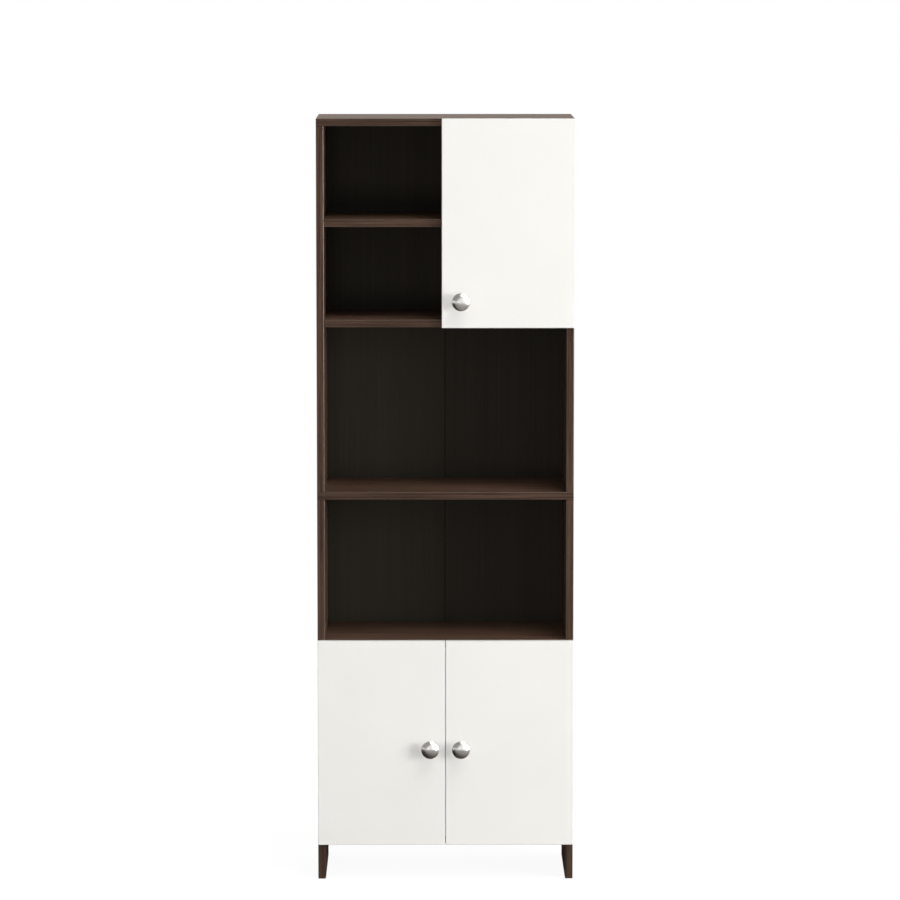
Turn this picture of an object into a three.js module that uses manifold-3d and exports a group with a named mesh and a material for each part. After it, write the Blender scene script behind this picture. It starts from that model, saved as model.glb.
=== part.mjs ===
// A tall, narrow bookcase: a dark walnut carcass with open shelves, a corner cupboard at the top right and
// a two-door cupboard at the bottom. Its three off-white doors have round steel knobs and concealed hinges.
// Millimetres. +Z is up, the front looks towards -Y, and -X is the viewer's left.
import * as THREE from "three";
import { mergeVertices } from "three/addons/utils/BufferGeometryUtils.js";
import Module from "manifold-3d";

const wasm = await Module();
wasm.setup();

// Overall sizes
const overallWidth = 600;
const overallHeight = 1790;
const carcassDepth = 280;
const boardThickness = 18;
const backThickness = 3;
const floorClearance = 85;
const cupboardHeight = 485;
const openBayHeight = 331;

// Clearances and cuts
const fitGap = 0.3;
const cutOverrun = 2;

// Doors
const doorThickness = 18;
const doorGap = 2;
const doorReveal = 0.5;
const doorPairGap = 1.2;

// Knobs, measured outwards from the door's front face
const knobFromCentreLine = 36;
const lowerKnobHeight = 230;
const upperKnobHeight = 62;
const knobRadius = 21;
const knobReach = 30;
const knobFaceSlope = THREE.MathUtils.degToRad(40);
const knobRimRadius = 1.3;
const knobRimTurn = THREE.MathUtils.degToRad(150);
const knobNeckRadius = 8;
const knobNeckLength = 8;
const knobBaseRadius = 10.5;
const knobBaseThickness = 1.5;
const knobHoleDepth = 10;
const knobScrewRadius = 2;
const knobScrewBite = 9;
const screwHeadRadius = 4;
const screwHeadHeight = 2.2;
const doorScrewHoleRadius = 2.6;

// Concealed hinges: the cup in the door
const hingeFromDoorEnd = 85;
const boreRadius = 17.5;
const boreEdgeInset = 3.5;
const cupWall = 0.8;
const cupWellDepth = 11.6;
const flangeRadius = 18.2;
const flangeThickness = 0.9;
const flangeWingLength = 60;
const flangeWingWidth = 12;
const flangeWingOffset = 6;

// Concealed hinges: the arm on the side panel
const plateSetback = 37;
const plateLength = 52;
const plateWidth = 16;
const plateThickness = 2;
const blockHeight = 9;
const blockLength = 26;
const armWidth = 11.4;
const armSheet = 1.2;
const armEarFoot = 5;
const armTop = 12.5;
const armRear = 52;
const armNoseRadius = 3;
const armTaperLength = 8;

// Concealed hinges: the turning point of the door and the link
const pivotInset = 6.2;
const pivotAhead = 12;
const doorOpening = THREE.MathUtils.degToRad(95);
const linkPinInside = 8;
const linkPinAhead = 8;
const linkPinRadius = 1.2;
const linkTipFromPivot = 8;
const linkEyeRadius = 2.6;
const linkTipRadius = 1.3;
const linkThickness = 2;
const linkSag = 3.9;
// Along the link from its pin to its tip, and the sag towards the door's front there
const linkBendShares = [
  [0.33, 0.78],
  [0.55, 1],
  [0.78, 0.88],
];

// Loose shelves in the cupboards, and the pins that carry them
const looseShelfSetback = 12;
const looseShelfGap = 0.8;
const pinRadius = 2.5;
const pinDepth = 8;
const pinHeadRadius = 3.5;
const pinHeadLength = 8;
const pinColumnInset = 40;
const pinHolePitch = 32;
const pinHoleCount = 3;

// Dowels through the middle board
const dowelRadius = 4;
const dowelLength = 60;
const dowelInset = 50;

// The fold line down the middle of each back sheet
const backInset = 1;
const foldWidth = 2;
const foldDepth = 1.5;

// Facets of round shapes
const knobSides = 20;
const cupSides = 24;
const smallSides = 10;
const arcSteps = 5;
const noseSteps = 6;
const linkSteps = 8;

// Planes that the pieces share
const rightOuterX = overallWidth / 2;
const rightInnerX = rightOuterX - boardThickness;
const partitionX = boardThickness / 2;
const overallDepth = carcassDepth + doorGap + doorThickness + knobReach;
const rearY = overallDepth / 2;
const backFrontY = rearY - backThickness;
const boardRearY = backFrontY - fitGap;
const boardFrontY = rearY - carcassDepth;
const doorRearY = boardFrontY - doorGap;
const doorFrontY = doorRearY - doorThickness;
const cupboardBottomZ = floorClearance;
const cupboardTopZ = floorClearance + cupboardHeight;
const middleBottomZ = cupboardTopZ + openBayHeight;
const middleTopZ = middleBottomZ + boardThickness;
const upperCupboardZ = overallHeight - cupboardHeight;
const upperFloorTopZ = upperCupboardZ + boardThickness;
const topUndersideZ = overallHeight - boardThickness;
const upperShelfZ = (upperFloorTopZ + topUndersideZ - boardThickness) / 2;
const lowerShelfZ = cupboardBottomZ + (cupboardHeight - boardThickness) / 2;
const fullDepth = [boardFrontY, boardRearY];
const pinColumns = [boardFrontY + pinColumnInset, boardRearY - pinColumnInset];

// Finishes
const finish = (color, roughness, metalness) => () =>
  new THREE.MeshStandardMaterial({ color, roughness, metalness });
const walnut = finish(0x4a3830, 0.55, 0);
const darkBack = finish(0x241d19, 0.7, 0);
const paleWood = finish(0xd6ccb8, 0.65, 0);
const offWhite = finish(0xf3f2ee, 0.45, 0);
const brightSteel = finish(0xc8c8c8, 0.15, 1);
const nickel = finish(0xb4b2ac, 0.3, 1);
const beech = finish(0xc9a77a, 0.7, 0);

// Joins and cuts of closed geometries
function toSolid(geometry) {
  const bare = geometry.clone();
  bare.deleteAttribute("normal");
  bare.deleteAttribute("uv");
  const welded = mergeVertices(bare);
  return new wasm.Manifold(
    new wasm.Mesh({
      numProp: 3,
      vertProperties: Float32Array.from(welded.attributes.position.array),
      triVerts: Uint32Array.from(welded.index.array),
    }),
  );
}

function toGeometry(solid) {
  const { vertProperties, triVerts } = solid.getMesh();
  const geometry = new THREE.BufferGeometry();
  geometry.setAttribute("position", new THREE.BufferAttribute(vertProperties, 3));
  geometry.setIndex(new THREE.BufferAttribute(triVerts, 1));
  geometry.computeVertexNormals();
  return geometry;
}

const cut = (body, tools) =>
  toGeometry(tools.reduce((left, tool) => left.subtract(toSolid(tool)), toSolid(body)));

const join = (pieces) =>
  toGeometry(pieces.map(toSolid).reduce((sum, piece) => sum.add(piece)));

// A box between two values on each axis
function block([x0, x1], [y0, y1], [z0, z1]) {
  const box = new THREE.BoxGeometry(x1 - x0, y1 - y0, z1 - z0);
  return box.translate((x0 + x1) / 2, (y0 + y1) / 2, (z0 + z1) / 2);
}

// Round rods along each axis, from one value to another
function rod(radius, from, to, sides) {
  const cylinder = new THREE.CylinderGeometry(radius, radius, to - from, sides);
  return cylinder.translate(0, (from + to) / 2, 0);
}

const rodX = (radius, [x0, x1], y, z, sides) =>
  rod(radius, x0, x1, sides).rotateZ(-Math.PI / 2).translate(0, y, z);

const rodY = (radius, x, [y0, y1], z, sides) =>
  rod(radius, y0, y1, sides).translate(x, 0, z);

const rodZ = (radius, x, y, [z0, z1], sides) =>
  rod(radius, z0, z1, sides).rotateX(Math.PI / 2).translate(x, y, 0);

// A piece of the bookcase, with its geometry given about a place of its own
function piece(name, makeFinish, geometry, place = [0, 0, 0]) {
  const mesh = new THREE.Mesh(geometry, makeFinish());
  mesh.name = name;
  mesh.position.set(...place);
  return mesh;
}

// A flat board between two values on each axis, with its holes given in the bookcase's own frame
function board(name, makeFinish, x, y, z, holes = []) {
  const centre = [x, y, z].map(([low, high]) => (low + high) / 2);
  const back = centre.map((value) => -value);
  const holed = holes.length ? cut(block(x, y, z), holes) : block(x, y, z);
  return piece(name, makeFinish, holed.translate(...back), centre);
}

// Blind holes for shelf pins in a board's face at x, with `into` as 1 or -1 for the way into the board
function pinHoles(x, into, shelfZ) {
  const pinZ = shelfZ - fitGap - pinHeadRadius;
  const ends = [x - into * cutOverrun, x + into * (pinDepth + fitGap)].sort((a, b) => a - b);
  const middle = (pinHoleCount - 1) / 2;
  return pinColumns.flatMap((y) =>
    Array.from({ length: pinHoleCount }, (_, i) =>
      rodX(pinRadius + fitGap, ends, y, pinZ + (i - middle) * pinHolePitch, smallSides),
    ),
  );
}

// Four pins under a loose shelf between the board faces at x0 and x1
function shelfPins(shelf, [x0, x1], shelfZ) {
  const profile = [
    [0, -pinDepth],
    [pinRadius, -pinDepth],
    [pinRadius, fitGap],
    [pinHeadRadius, fitGap],
    [pinHeadRadius, pinHeadLength],
    [0, pinHeadLength],
  ].map(([radius, reach]) => new THREE.Vector2(radius, reach));
  const pinZ = shelfZ - fitGap - pinHeadRadius;
  const pins = new THREE.Group();
  for (const [sideName, x, turn] of [
    ["left", x0, -Math.PI / 2],
    ["right", x1, Math.PI / 2],
  ])
    for (const [rowName, y] of [
      ["front", pinColumns[0]],
      ["rear", pinColumns[1]],
    ]) {
      const pin = new THREE.LatheGeometry(profile, smallSides);
      const name = `${shelf}_pin_${sideName}_${rowName}`;
      const mesh = piece(name, nickel, pin.rotateZ(turn), [x, y, pinZ]);
      pins.add(mesh);
    }
  return pins;
}

// A loose shelf, standing a little clear of the boards on both sides of it
const looseShelf = (name, [x0, x1], shelfZ) =>
  board(
    name,
    walnut,
    [x0 + looseShelfGap, x1 - looseShelfGap],
    [boardFrontY + looseShelfSetback, boardRearY - looseShelfGap],
    [shelfZ, shelfZ + boardThickness],
  );

// Dowels that locate the upper sides, the middle board and the lower sides on each other
const dowelX = rightInnerX + boardThickness / 2;
const dowelZ = (middleBottomZ + middleTopZ) / 2;
const dowelPlaces = [
  ["left_front", -dowelX, boardFrontY + dowelInset],
  ["left_rear", -dowelX, boardRearY - dowelInset],
  ["right_front", dowelX, boardFrontY + dowelInset],
  ["right_rear", dowelX, boardRearY - dowelInset],
];
const dowelEnds = (gap) => [dowelZ - dowelLength / 2 - gap, dowelZ + dowelLength / 2 + gap];
const dowelHoles = (side) =>
  dowelPlaces
    .filter(([, x]) => Math.sign(x) === side || side === 0)
    .map(([, x, y]) => rodZ(dowelRadius + fitGap, x, y, dowelEnds(fitGap), smallSides));

function dowels() {
  const group = new THREE.Group();
  for (const [name, x, y] of dowelPlaces) {
    const dowel = rodZ(dowelRadius, 0, 0, dowelEnds(0), smallSides);
    group.add(piece(`dowel_${name}`, beech, dowel, [x, y, 0]));
  }
  return group;
}

// The two heights of side panels, full-width boards and the boards between them
function sidePanels() {
  const left = [-rightOuterX, -rightInnerX];
  const right = [rightInnerX, rightOuterX];
  const lower = [0, middleBottomZ - fitGap];
  const upper = [middleTopZ + fitGap, topUndersideZ - fitGap];
  const lowerLeft = [...dowelHoles(-1), ...pinHoles(-rightInnerX, -1, lowerShelfZ)];
  const lowerRight = [...dowelHoles(1), ...pinHoles(rightInnerX, 1, lowerShelfZ)];
  const upperRight = [...dowelHoles(1), ...pinHoles(rightInnerX, 1, upperShelfZ)];
  return [
    board("lower_left_side", walnut, left, fullDepth, lower, lowerLeft),
    board("lower_right_side", walnut, right, fullDepth, lower, lowerRight),
    board("upper_left_side", walnut, left, fullDepth, upper, dowelHoles(-1)),
    board("upper_right_side", walnut, right, fullDepth, upper, upperRight),
  ];
}

function levelBoards() {
  const full = [-rightOuterX, rightOuterX];
  const between = [-rightInnerX + fitGap, rightInnerX - fitGap];
  const leftBay = [-rightInnerX + fitGap, -partitionX - fitGap];
  const level = (underside) => [underside, underside + boardThickness];
  return [
    board("top_panel", walnut, full, fullDepth, level(topUndersideZ)),
    board("middle_board", walnut, full, fullDepth, level(middleBottomZ), dowelHoles(0)),
    board("upper_cupboard_floor", walnut, between, fullDepth, level(upperCupboardZ)),
    board("upper_left_shelf", walnut, leftBay, fullDepth, level(upperShelfZ)),
    board("lower_cupboard_top", walnut, between, fullDepth, level(cupboardTopZ - boardThickness)),
    board("lower_cupboard_floor", walnut, between, fullDepth, level(cupboardBottomZ)),
  ];
}

function partitions() {
  const thick = [-partitionX, partitionX];
  const upper = [upperFloorTopZ + fitGap, topUndersideZ - fitGap];
  const lower = [cupboardBottomZ + boardThickness + fitGap, cupboardTopZ - boardThickness - fitGap];
  const lowerHoles = [
    ...pinHoles(-partitionX, 1, lowerShelfZ),
    ...pinHoles(partitionX, -1, lowerShelfZ),
  ];
  return [
    board("upper_partition", walnut, thick, fullDepth, upper, pinHoles(partitionX, -1, upperShelfZ)),
    board("lower_partition", paleWood, thick, fullDepth, lower, lowerHoles),
  ];
}

function looseShelves() {
  const leftBay = [-rightInnerX, -partitionX];
  const rightBay = [partitionX, rightInnerX];
  return [
    looseShelf("upper_right_shelf", rightBay, upperShelfZ),
    shelfPins("upper_right_shelf", rightBay, upperShelfZ),
    looseShelf("lower_left_shelf", leftBay, lowerShelfZ),
    shelfPins("lower_left_shelf", leftBay, lowerShelfZ),
    looseShelf("lower_right_shelf", rightBay, lowerShelfZ),
    shelfPins("lower_right_shelf", rightBay, lowerShelfZ),
  ];
}

// Thin back sheets, each folded once down the middle to fit its box, with the fold scored at the front
function backSheets() {
  const width = [-rightOuterX + backInset, rightOuterX - backInset];
  const fold = [-foldWidth / 2, foldWidth / 2];
  const sheet = (name, z) => {
    const score = block(
      fold,
      [backFrontY - cutOverrun, backFrontY + foldDepth],
      [z[0] - cutOverrun, z[1] + cutOverrun],
    );
    return board(name, darkBack, width, [backFrontY, rearY], z, [score]);
  };
  const seamZ = (middleBottomZ + middleTopZ) / 2;
  return [
    sheet("lower_back", [cupboardBottomZ + backInset, seamZ - backInset]),
    sheet("upper_back", [seamZ + backInset, overallHeight - backInset]),
  ];
}

// An arc about a centre given as (radius, out), as points of the same kind. Its angles are taken from the
// knob's axis, and its two sizes are along the radius and along the axis.
const arc = ([radius, out], [wide, deep], from, to) =>
  Array.from({ length: arcSteps + 1 }, (_, i) => {
    const angle = THREE.MathUtils.lerp(from, to, i / arcSteps);
    return [radius + wide * Math.sin(angle), out + deep * Math.cos(angle)];
  });

const latheAlongY = (points, sides) =>
  new THREE.LatheGeometry(
    points.map(([radius, y]) => new THREE.Vector2(radius, y)),
    sides,
  );

// A domed knob on its own axis, reaching along -Y from the door's front face: a round face, a rounded rim
// and a flare that runs in to the neck
function knobGeometry() {
  const rimRing = knobRadius - knobRimRadius;
  const faceRadius = rimRing / Math.sin(knobFaceSlope) + knobRimRadius;
  const faceCentre = knobReach - faceRadius;
  const rimOut = faceCentre + (faceRadius - knobRimRadius) * Math.cos(knobFaceSlope);
  const rimSize = [knobRimRadius, knobRimRadius];
  const rim = arc([rimRing, rimOut], rimSize, knobFaceSlope, knobRimTurn).slice(1);
  const [flareRing, flareOut] = rim[rim.length - 1];
  const flareSize = [knobNeckRadius - flareRing, flareOut - knobNeckLength];
  const flare = arc([flareRing, knobNeckLength], flareSize, 0, Math.PI / 2).slice(1);
  const holeRadius = knobScrewRadius + fitGap;
  const outline = [
    ...arc([0, faceCentre], [faceRadius, faceRadius], 0, knobFaceSlope),
    ...rim,
    ...flare,
    [knobNeckRadius, knobBaseThickness],
    [knobBaseRadius, knobBaseThickness],
    [knobBaseRadius, fitGap],
    [holeRadius, fitGap],
    [holeRadius, knobHoleDepth],
    [0, knobHoleDepth],
  ];
  return latheAlongY(outline.map(([radius, out]) => [radius, -out]), knobSides);
}

// The screw from the door's rear face into the knob, with y counted from the door's front face
function knobScrewGeometry() {
  const headFront = doorThickness + fitGap;
  const outline = [
    [0, -knobScrewBite],
    [knobScrewRadius, -knobScrewBite],
    [knobScrewRadius, headFront],
    [screwHeadRadius, headFront],
    [screwHeadRadius, headFront + screwHeadHeight],
    [0, headFront + screwHeadHeight],
  ];
  return latheAlongY(outline, smallSides);
}

// Each door: the side that it hangs on, its edges from left to right and the place of its knob
const doors = [
  {
    name: "upper_door",
    hand: 1,
    x: [-partitionX + doorReveal, rightOuterX - doorReveal],
    bottom: upperCupboardZ,
    knob: [knobFromCentreLine, upperCupboardZ + upperKnobHeight],
  },
  {
    name: "lower_left_door",
    hand: -1,
    x: [-rightOuterX + doorReveal, -doorPairGap / 2],
    bottom: cupboardBottomZ,
    knob: [-knobFromCentreLine, cupboardBottomZ + lowerKnobHeight],
  },
  {
    name: "lower_right_door",
    hand: 1,
    x: [doorPairGap / 2, rightOuterX - doorReveal],
    bottom: cupboardBottomZ,
    knob: [knobFromCentreLine, cupboardBottomZ + lowerKnobHeight],
  },
];

// Hinge places, counted from the side panel's inner face and the boards' front edges: x runs into the
// cupboard and y towards its rear, and a hinge on the right is the same one turned over
const hingeDoorEdgeX = doorReveal - boardThickness;
const cupX = hingeDoorEdgeX + boreEdgeInset + boreRadius;
const pivot = new THREE.Vector2(hingeDoorEdgeX + pivotInset, -doorGap - pivotAhead);
const linkPin = new THREE.Vector2(linkPinInside, -linkPinAhead);
const tipAngle = linkPin.clone().sub(pivot).angle() + doorOpening / 2;
const linkTip = new THREE.Vector2(Math.cos(tipAngle), Math.sin(tipAngle))
  .multiplyScalar(linkTipFromPivot)
  .add(pivot);
const cupDepth = cupWellDepth + cupWall;

function door({ name, hand, x, bottom, knob }) {
  const [knobX, knobZ] = knob;
  const boreX = hand * (rightInnerX - cupX);
  const bore = [doorRearY - cupDepth - fitGap, doorRearY + cutOverrun];
  const through = [doorFrontY - cutOverrun, doorRearY + cutOverrun];
  const holes = hingeHeights(bottom).map((z) => rodY(boreRadius, boreX, bore, z, cupSides));
  holes.push(rodY(doorScrewHoleRadius, knobX, through, knobZ, smallSides));
  const slab = [doorFrontY, doorRearY];
  const group = new THREE.Group();
  group.add(
    board(name, offWhite, x, slab, [bottom, bottom + cupboardHeight], holes),
    piece(`${name}_knob`, brightSteel, knobGeometry(), [knobX, doorFrontY, knobZ]),
    piece(`${name}_knob_screw`, nickel, knobScrewGeometry(), [knobX, doorFrontY, knobZ]),
  );
  return group;
}

const hingeHeights = (bottom) => [
  bottom + hingeFromDoorEnd,
  bottom + cupboardHeight - hingeFromDoorEnd,
];

// The cup that the door carries, with a flange and its two screw wings on the door's rear face
function hingeCupGeometry() {
  const outside = -doorGap + fitGap + flangeThickness;
  const flange = [-doorGap + fitGap, outside];
  const wingX = cupX + flangeWingOffset;
  const halfWing = flangeWingLength / 2 - flangeWingWidth / 2;
  const shell = join([
    rodY(boreRadius - fitGap, cupX, [-doorGap - cupDepth, outside], 0, cupSides),
    rodY(flangeRadius, cupX, flange, 0, cupSides),
    block([wingX - flangeWingWidth / 2, wingX + flangeWingWidth / 2], flange, [-halfWing, halfWing]),
    rodY(flangeWingWidth / 2, wingX, flange, -halfWing, smallSides),
    rodY(flangeWingWidth / 2, wingX, flange, halfWing, smallSides),
  ]);
  const wellRadius = boreRadius - fitGap - cupWall;
  const well = [-doorGap - cupWellDepth, outside + cutOverrun];
  return cut(shell, [rodY(wellRadius, cupX, well, 0, cupSides)]);
}

// One ear of the arm in plan, with its nose round the link's pin
function earGeometry(z) {
  const ear = new THREE.Shape();
  ear.moveTo(armEarFoot, armRear);
  ear.lineTo(linkPin.x - armNoseRadius, linkPin.y);
  ear.absarc(linkPin.x, linkPin.y, armNoseRadius, Math.PI, 2 * Math.PI, false);
  ear.lineTo(armTop, linkPin.y + armTaperLength);
  ear.lineTo(armTop, armRear);
  const options = { depth: armSheet, bevelEnabled: false, curveSegments: noseSteps };
  return new THREE.ExtrudeGeometry(ear, options).translate(0, 0, z);
}

// The arm: a plate on the side panel, a block on it, and the channel that reaches to the link's pin
function hingeArmGeometry() {
  const half = armWidth / 2;
  const inner = half - armSheet / 2;
  const plate = [fitGap, fitGap + plateThickness];
  const wing = plateLength / 2 - plateWidth / 2;
  const blockY = [plateSetback - blockLength / 2, plateSetback + blockLength / 2];
  return join([
    block(plate, [plateSetback - plateWidth / 2, plateSetback + plateWidth / 2], [-wing, wing]),
    rodX(plateWidth / 2, plate, plateSetback, -wing, smallSides),
    rodX(plateWidth / 2, plate, plateSetback, wing, smallSides),
    block([fitGap, blockHeight], blockY, [-inner, inner]),
    earGeometry(-half),
    earGeometry(half - armSheet),
    block([armTop - armSheet, armTop], [linkPin.y + armTaperLength, armRear], [-half, half]),
    rodZ(linkPinRadius, linkPin.x, linkPin.y, [-inner, inner], smallSides),
  ]);
}

// The link: a bent strap from the arm's pin into the cup, which clears the cup's rim as the door opens
function hingeLinkGeometry() {
  const width = armWidth - 2 * armSheet - 2 * fitGap;
  const along = linkTip.clone().sub(linkPin);
  const across = new THREE.Vector2(along.y, -along.x).normalize().multiplyScalar(-linkSag);
  const bend = ([share, sagShare]) =>
    linkPin.clone().addScaledVector(along, share).addScaledVector(across, sagShare);
  const points = [linkPin, ...linkBendShares.map(bend), linkTip];
  const path = new THREE.CatmullRomCurve3(points.map((p) => new THREE.Vector3(p.x, p.y, 0)));
  const section = new THREE.Shape();
  section.moveTo(-width / 2, -linkThickness / 2);
  section.lineTo(width / 2, -linkThickness / 2);
  section.lineTo(width / 2, linkThickness / 2);
  section.lineTo(-width / 2, linkThickness / 2);
  const strap = new THREE.ExtrudeGeometry(section, { steps: linkSteps, extrudePath: path });
  const span = [-width / 2, width / 2];
  const through = [-width / 2 - cutOverrun, width / 2 + cutOverrun];
  const body = join([
    strap,
    rodZ(linkEyeRadius, linkPin.x, linkPin.y, span, smallSides),
    rodZ(linkTipRadius, linkTip.x, linkTip.y, span, smallSides),
  ]);
  return cut(body, [rodZ(linkPinRadius + fitGap, linkPin.x, linkPin.y, through, smallSides)]);
}

// Both hinges of a door, each a group at the side panel's inner face
function hinges({ name, hand, bottom }) {
  const pair = new THREE.Group();
  hingeHeights(bottom).forEach((z, i) => {
    const prefix = `${name}_${i ? "top" : "bottom"}_hinge`;
    const hinge = new THREE.Group();
    hinge.position.set(hand * rightInnerX, boardFrontY, z);
    hinge.rotation.y = hand > 0 ? Math.PI : 0;
    hinge.add(
      piece(`${prefix}_cup`, nickel, hingeCupGeometry()),
      piece(`${prefix}_arm`, nickel, hingeArmGeometry()),
      piece(`${prefix}_link`, nickel, hingeLinkGeometry()),
    );
    pair.add(hinge);
  });
  return pair;
}

const group = new THREE.Group();
group.add(...sidePanels(), ...levelBoards(), ...partitions(), ...looseShelves(), ...backSheets());
group.add(dowels());
for (const spec of doors) group.add(door(spec), hinges(spec));

export default group;
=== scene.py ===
"""A tall walnut bookcase with off-white doors and round steel knobs, dressed round its CAD frame.

Metres. +Z is up, the front looks towards -Y, and -X is the viewer's left.
"""

import math

import bmesh
import bpy
from mathutils import Matrix, Vector

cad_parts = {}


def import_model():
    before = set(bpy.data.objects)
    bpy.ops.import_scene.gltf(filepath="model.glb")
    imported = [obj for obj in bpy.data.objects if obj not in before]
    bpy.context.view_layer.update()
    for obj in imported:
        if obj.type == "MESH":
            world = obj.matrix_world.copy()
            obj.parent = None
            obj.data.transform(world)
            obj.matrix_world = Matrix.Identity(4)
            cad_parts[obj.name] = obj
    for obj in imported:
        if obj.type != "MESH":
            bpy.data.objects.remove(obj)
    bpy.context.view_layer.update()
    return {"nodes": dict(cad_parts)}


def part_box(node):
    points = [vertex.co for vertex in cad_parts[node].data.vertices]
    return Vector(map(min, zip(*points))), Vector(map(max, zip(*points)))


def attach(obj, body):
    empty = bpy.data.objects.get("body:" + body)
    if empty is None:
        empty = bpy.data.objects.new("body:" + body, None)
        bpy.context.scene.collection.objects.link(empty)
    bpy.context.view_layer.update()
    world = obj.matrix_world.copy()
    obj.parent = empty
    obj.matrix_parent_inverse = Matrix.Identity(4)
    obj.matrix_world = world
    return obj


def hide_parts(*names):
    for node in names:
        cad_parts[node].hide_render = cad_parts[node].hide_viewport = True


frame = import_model()

MM = 0.001
FRONT = Vector((0, -1, 0))
REAR = Vector((0, 1, 0))
UP = Vector((0, 0, 1))
DOWN = Vector((0, 0, -1))
LEFT = Vector((-1, 0, 0))
RIGHT = Vector((1, 0, 0))
AXES = {"x": RIGHT, "z": UP}

# Camera, measured from the front edges of the boards
LENS = 172.6
SENSOR_WIDTH = 36.0
CAMERA_DISTANCE = 10.0
CAMERA_X = -0.0407
CAMERA_HEIGHT = 2.1765
AIM_X = 0.0107
AIM_HEIGHT = 1.0181

# Rounding of the board and door edges
UPRIGHT_EDGE = 2.0 * MM
LEVEL_EDGE = 1.2 * MM
DOOR_EDGE = 1.5 * MM
EDGE_SEGMENTS = 8
LONG_ENOUGH = 10 * MM
ALONG_ENOUGH = 0.999
FLAT_ENOUGH = math.radians(1)
SQUARE_ENOUGH = math.radians(50)
WELD = 0.01 * MM
SMOOTH_ANGLE = math.radians(35)

# Turned forms and cuts
ARC_STEPS = 20
DOME_STEPS = 6
ROUND_SIDES = 96
SMALL_SIDES = 32
DOME_SEAT = 0.3 * MM
CUT_OVERRUN = 2 * MM

# Knobs, measured outwards from the door's front face
KNOB_RADIUS = 21 * MM
KNOB_REACH = 30 * MM
KNOB_GAP = 0.3 * MM
KNOB_FACE_SLOPE = math.radians(40)
KNOB_RIM_RADIUS = 1.3 * MM
KNOB_RIM_TURN = math.radians(150)
KNOB_NECK_RADIUS = 8 * MM
KNOB_NECK_LENGTH = 8 * MM
KNOB_BASE_RADIUS = 10.5 * MM
KNOB_BASE_THICKNESS = 1.5 * MM
KNOB_BASE_LIP = 0.5 * MM
KNOB_HOLE_RADIUS = 2.3 * MM
KNOB_HOLE_DEPTH = 10 * MM

# Holes in the doors
BORE_RADIUS = 17.8 * MM
BORE_FLOOR_GAP = 0.3 * MM
SCREW_HOLE_RADIUS = 2.6 * MM

# Screw heads, as (radius, height), with their cross recesses and places
CUP_SCREW = (3.1 * MM, 1.1 * MM)
PLATE_SCREW = (3.6 * MM, 1.3 * MM)
ARM_SCREW = (2.8 * MM, 0.9 * MM)
RECESS_ARM_SHARE = 0.6
RECESS_WIDTH_SHARE = 0.17
RECESS_DEPTH_SHARE = 0.7
CUP_SCREW_SPREAD = 24 * MM
CUP_SCREW_INSET = 6 * MM
PLATE_SCREW_SPREAD = 19 * MM
PLATE_SETBACK = 37 * MM
PLATE_TOP = 2.3 * MM
ARM_SCREW_SETBACKS = (16 * MM, 33 * MM)
ARM_TOP = 12.5 * MM

# Door bumpers and the covers over the board fittings, as (radius, height)
BUMPER = (4.5 * MM, 1.5 * MM)
BUMPER_INSET = 30 * MM
COVER = (7.5 * MM, 0.5 * MM)
COVER_FROM_JOINT = 34 * MM
COVER_SETBACK = 45 * MM

# Back sheets, and their nails as (radius, height), whose heads end level with the frame's rear
FOLD_WIDTH = 2.8 * MM
FOLD_DEPTH = 1.5 * MM
NAIL = (1.6 * MM, 0.6 * MM)
SHEET_REAR_GAP = NAIL[1]
NAIL_PITCH = 110 * MM
NAIL_FROM_EDGE = 8 * MM

# Stands a lying sheet up: its z becomes y and its y becomes -z
STAND_UP = Matrix(((1, 0, 0, 0), (0, 0, 1, 0), (0, -1, 0, 0), (0, 0, 0, 1)))

# Sizes of the grains: noise scales across and along a grain, or one for all ways
WALNUT_DRIFT = (16, 1.1)
WALNUT_STREAKS = (320, 3.2)
WALNUT_PORES = (800, 16)
MELAMINE_STREAKS = (120, 2)
PRINT_LINES = (330, 2.4)
PRINT_DRIFT = (14, 1.2)
BEECH_FLECKS = (700, 90)
HARDBOARD_FIBRES = 420
HARDBOARD_BLOTCHES = 7
FOIL_SPECKLE = 1300
FOIL_DRIFT = 5
METAL_CLOUDS = 160
PLASTIC_GRAIN = 900

# Shades of the finishes, as (place on the ramp, colour) pairs from dark to light
WHITE = (1, 1, 1)
WALNUT_SHADES = (
    (0.40, (0.034, 0.0188, 0.0122)),
    (0.47, (0.050, 0.0280, 0.0184)),
    (0.53, (0.066, 0.0376, 0.0250)),
    (0.60, (0.086, 0.0506, 0.0344)),
)
PORE_SHADES = ((0.38, (0.62, 0.6, 0.58)), (0.5, WHITE))
MELAMINE_SHADES = ((0.35, (0.78, 0.66, 0.45)), (0.65, (0.87, 0.76, 0.56)))
# The back print's near-black is partly its own tone and partly painted shade of the deep bays
PRINT_AND_SHADE_TONES = ((0.3, (0.021, 0.0175, 0.0125)), (0.7, (0.030, 0.026, 0.019)))
HARDBOARD_SHADES = ((0.36, (0.17, 0.094, 0.045)), (0.64, (0.32, 0.19, 0.1)))
FOIL_SHADES = ((0.3, (0.845, 0.832, 0.795)), (0.7, (0.875, 0.864, 0.828)))
BEECH_SHADES = ((0.35, (0.5, 0.31, 0.16)), (0.65, (0.66, 0.46, 0.27)))
COVER_SHADES = ((0.35, (0.020, 0.011, 0.007)), (0.65, (0.034, 0.019, 0.012)))
BUMPER_SHADES = ((0.35, (0.62, 0.61, 0.57)), (0.65, (0.72, 0.71, 0.67)))
STEEL_COLOUR = (0.8, 0.79, 0.775)
NICKEL_COLOUR = (0.62, 0.6, 0.57)
METAL_DARK_SHARE = 0.93
METAL_DARK_AT = 0.35
METAL_LIGHT_AT = 0.65

# Walnut's lightness on faces by grain, on rounded edges and on front edges, times its shades
# The faces, the level boards' most, are painted lighter than the front edges: painted light on the
# faces, painted shade in front
FACE_PAINTED_LIGHTNESS = {"x": 2.1, "z": 1.6}
EDGE_LIGHTNESS = 1.2
FRONT_SHADE_TONE = (1.056, 1.056, 1.07)
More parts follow.
